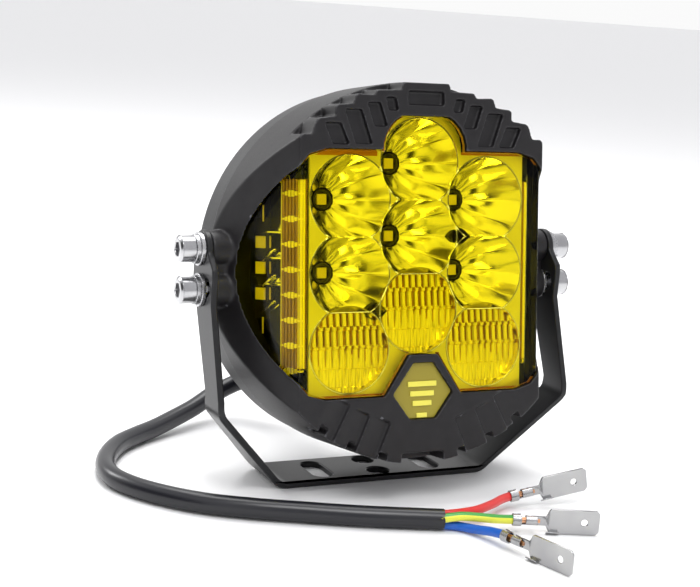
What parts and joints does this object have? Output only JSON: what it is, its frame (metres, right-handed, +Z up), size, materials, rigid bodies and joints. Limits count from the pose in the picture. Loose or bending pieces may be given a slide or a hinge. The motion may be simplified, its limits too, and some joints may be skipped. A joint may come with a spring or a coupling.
{
  "type": "fog light",
  "caption": "Round finned LED fog light with a yellow window and side optics, tilting on a steel U-bracket, with a supply cable ending in blade terminals.",
  "frame": {"origin": "middle of the two round bolt holes in the bracket's base plate, on the plate's lower face", "axes": "+Z up, out of the base plate toward the lamp; the lamp looks toward -Y; +X runs from arm to arm along the tilt axis"},
  "size_m": [0.1917, 0.2029, 0.155],
  "materials": {
    "powder_coated_steel": "satin black powder coat",
    "cast_front": "matte charcoal powder coat on die-cast aluminium",
    "cast_rear": "matte black powder coat on die-cast aluminium",
    "rubber_seal": "matte",
    "amber_lens": "clear amber-yellow polycarbonate, glossy",
    "badge_amber": "dark amber, satin",
    "reflector_chrome": "vacuum-metallised plastic",
    "amber_optic": "clear moulded optic",
    "white_board": "white solder mask",
    "led_phosphor": "yellow phosphor",
    "green_board": "green solder mask",
    "component_black": "moulded black",
    "steel_screw": "zinc plated",
    "black_nylon": "moulded nylon",
    "stainless_bolt": "satin stainless steel",
    "stainless_washer": "stamped stainless steel",
    "cable_jacket": "smooth black jacket",
    "red_insulation": "smooth insulation",
    "earth_insulation": "yellow insulation with a green stripe",
    "blue_insulation": "smooth insulation",
    "tinned_brass": "bright tin plate"
  },
  "bodies": {
    "bracket": {"bracket": "powder_coated_steel", "cable": "cable_jacket", "core_red": "red_insulation", "core_earth": "earth_insulation", "core_blue": "blue_insulation", "terminal_red": "tinned_brass", "terminal_earth": "tinned_brass", "terminal_blue": "tinned_brass"},
    "lamp": {"front_housing": "cast_front", "rear_housing": "cast_rear", "housing_seal": "rubber_seal", "lens": "amber_lens", "lens_seal": "rubber_seal", "badge_insert": "badge_amber", "spot_reflector": "reflector_chrome", "flood_optics": "amber_optic", "side_reflector_left": "reflector_chrome", "side_reflector_right": "reflector_chrome", "light_guide_left": "amber_optic", "light_guide_right": "amber_optic", "led_board": "white_board", "led_chips": "led_phosphor", "side_board_left": "white_board", "side_board_right": "white_board", "side_chips_left": "led_phosphor", "side_chips_right": "led_phosphor", "driver_board": "green_board", "driver_parts": "component_black", "internal_leads": "red_insulation", "housing_screws": "steel_screw", "board_screws": "steel_screw", "breather_plug": "black_nylon", "cable_gland": "black_nylon", "gland_nut": "black_nylon", "pivot_bolts": "stainless_bolt", "locking_bolts": "stainless_bolt", "spring_washers": "stainless_washer", "flat_washers": "stainless_washer", "arm_spacers": "stainless_washer", "cable_stub": "cable_jacket"}
  },
  "joints": [
    {"name": "tilt", "type": "hinge", "parent": "bracket", "child": "lamp", "pos_m": [0, 0.004, 0.0895], "axis": [-1, 0, 0], "range_deg": [-13, 21]}
  ]
}
